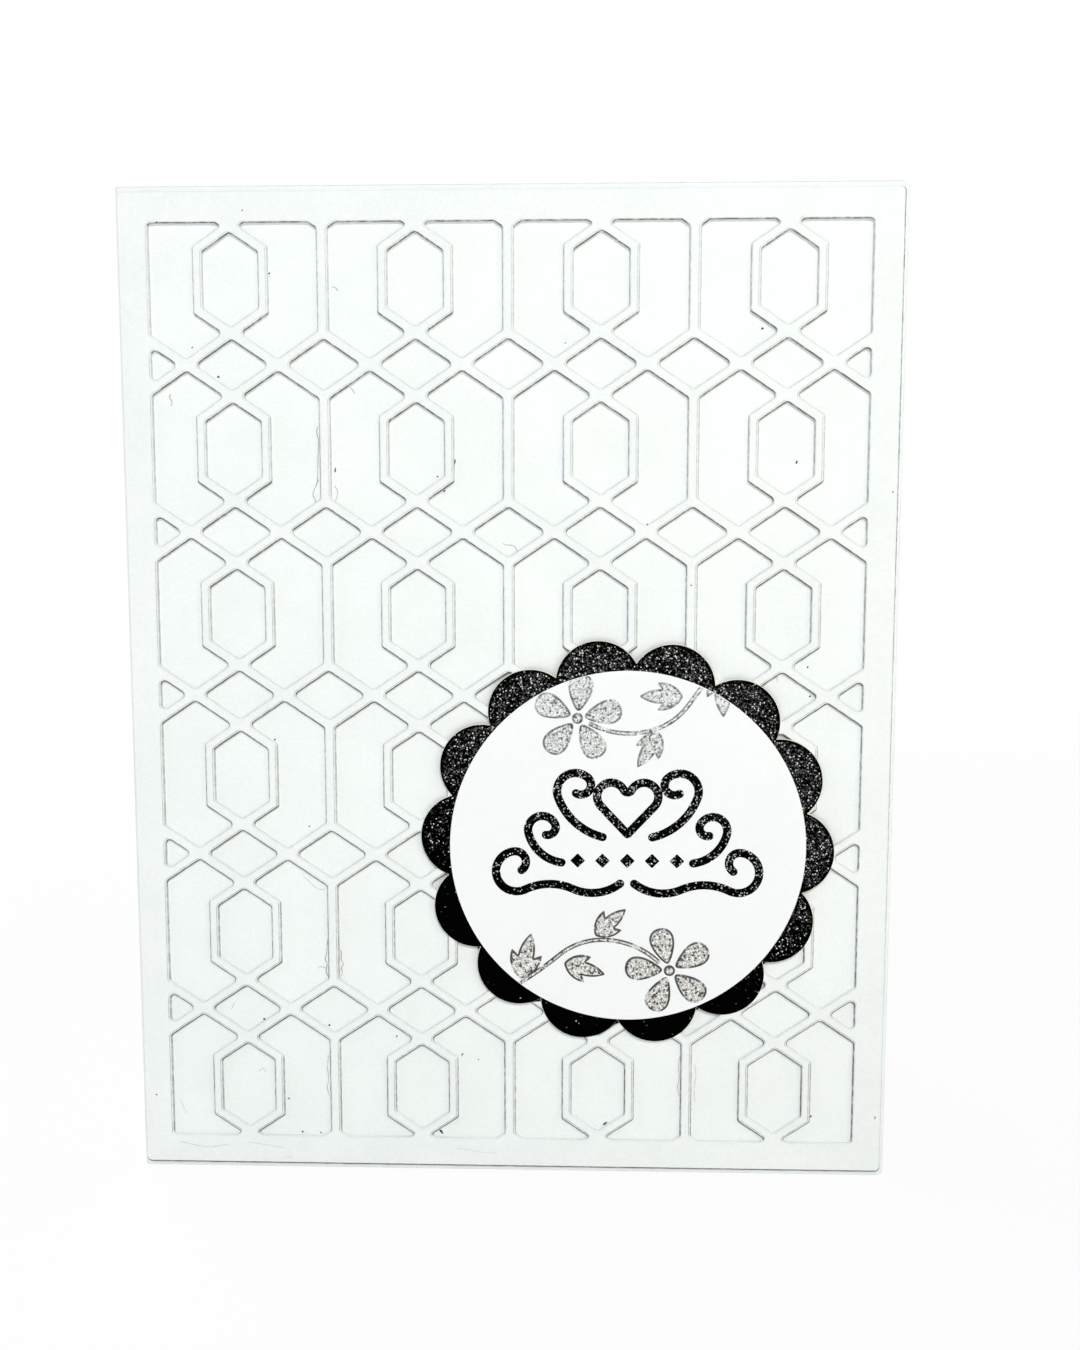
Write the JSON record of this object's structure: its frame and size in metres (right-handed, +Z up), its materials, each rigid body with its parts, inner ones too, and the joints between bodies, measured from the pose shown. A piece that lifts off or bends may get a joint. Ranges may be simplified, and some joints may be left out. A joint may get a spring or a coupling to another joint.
{
  "type": "greeting card",
  "caption": "Upright folded greeting card, standing open, with a die-cut lattice panel over its front and a scalloped round medallion low on the right.",
  "frame": {"origin": "on the surface that the card stands on, below the middle of its bounding box", "axes": "+Z up along the height of the leaves, +X to the right as the front of the card is seen, and the front of the card faces -Y"},
  "size_m": [0.108, 0.0786, 0.1397],
  "materials": {
    "base_card": "smooth matt white card",
    "panel_card": "smooth matt white card",
    "glitter_card": "black card under fine clear and black glitter",
    "disc_card": "smooth matt white card",
    "black_glitter": "raised black resin with fine sparkles",
    "silver_print": "speckled silver grey resin"
  },
  "bodies": {
    "root": {"card_base": "base_card", "lattice_panel": "panel_card", "scalloped_circle": "glitter_card", "round_disc": "disc_card", "black_ornament": "black_glitter", "flower_sprigs": "silver_print"}
  },
  "joints": []
}
